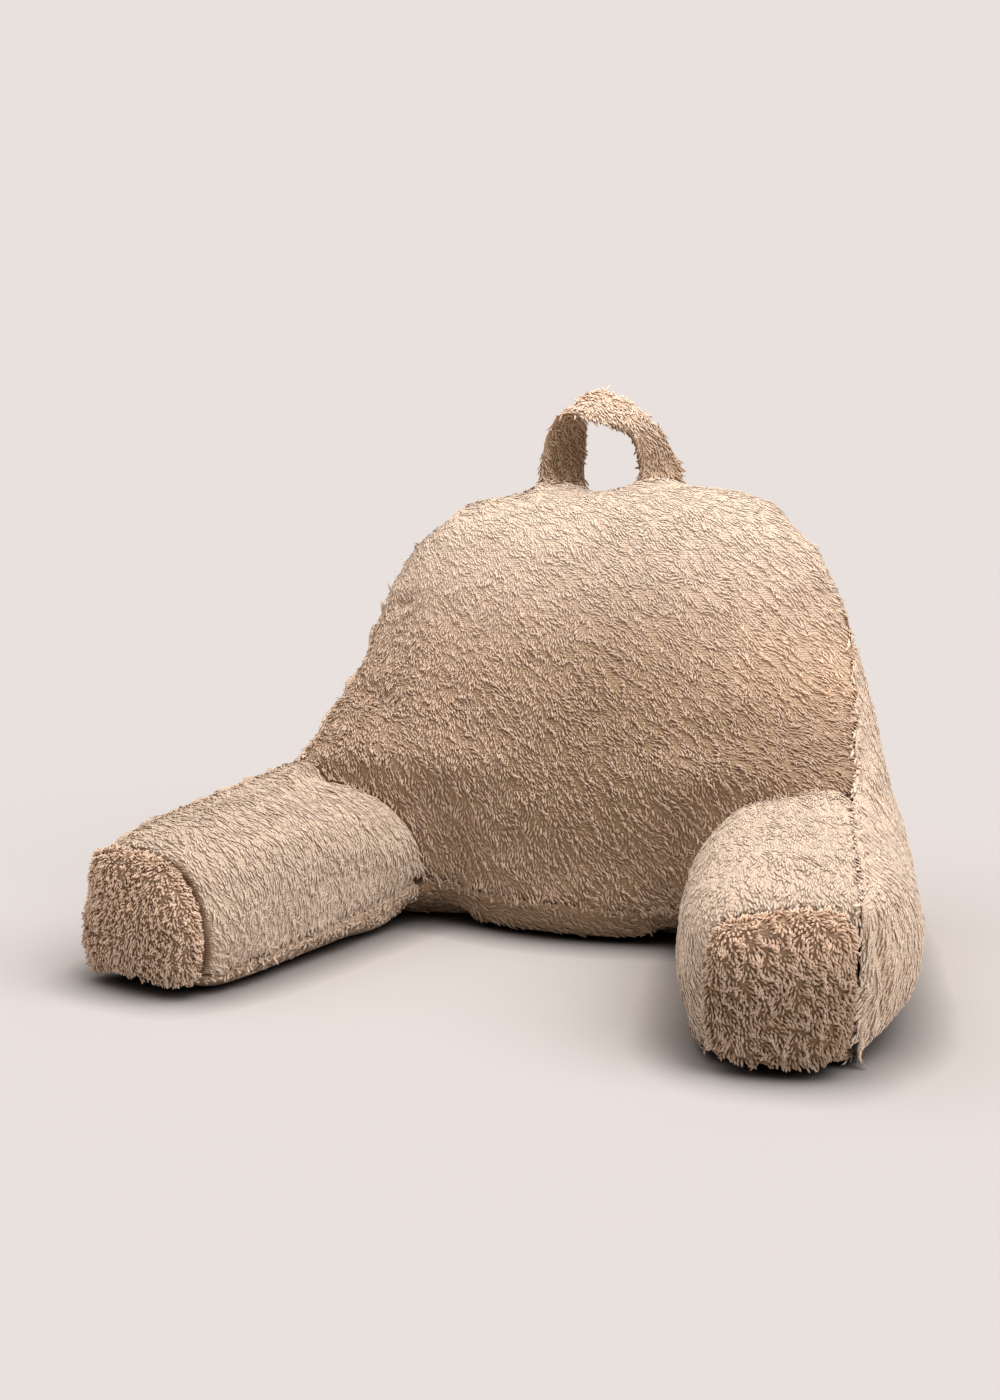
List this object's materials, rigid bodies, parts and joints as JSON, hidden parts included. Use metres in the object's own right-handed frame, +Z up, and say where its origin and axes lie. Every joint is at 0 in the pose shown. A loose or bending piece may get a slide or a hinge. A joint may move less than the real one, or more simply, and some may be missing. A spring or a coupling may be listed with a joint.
{
  "type": "cuddle cushion",
  "caption": "Filled teddy-fleece reading cushion that stands on a bed or floor, with a sloping backrest, a rest for each arm and a carry handle.",
  "frame": {"origin": "middle of the bounding box, on the ground plane that the cushion stands on", "axes": "+Z up, the cushion faces -Y with its arms reaching forward, +X towards its arm on the right as seen from the front"},
  "size_m": [0.8068, 0.6602, 0.6145],
  "materials": {
    "teddy_fleece": "matt deep-pile teddy fleece, beige brown, darker between the tufts"
  },
  "bodies": {
    "root": {"backrest": "teddy_fleece", "back_base": "teddy_fleece", "arm_left": "teddy_fleece", "arm_right": "teddy_fleece", "arm_base_left": "teddy_fleece", "arm_base_right": "teddy_fleece", "side_panel_left": "teddy_fleece", "side_panel_right": "teddy_fleece", "end_cap_left": "teddy_fleece", "end_cap_right": "teddy_fleece", "carry_handle": "teddy_fleece"}
  },
  "joints": []
}
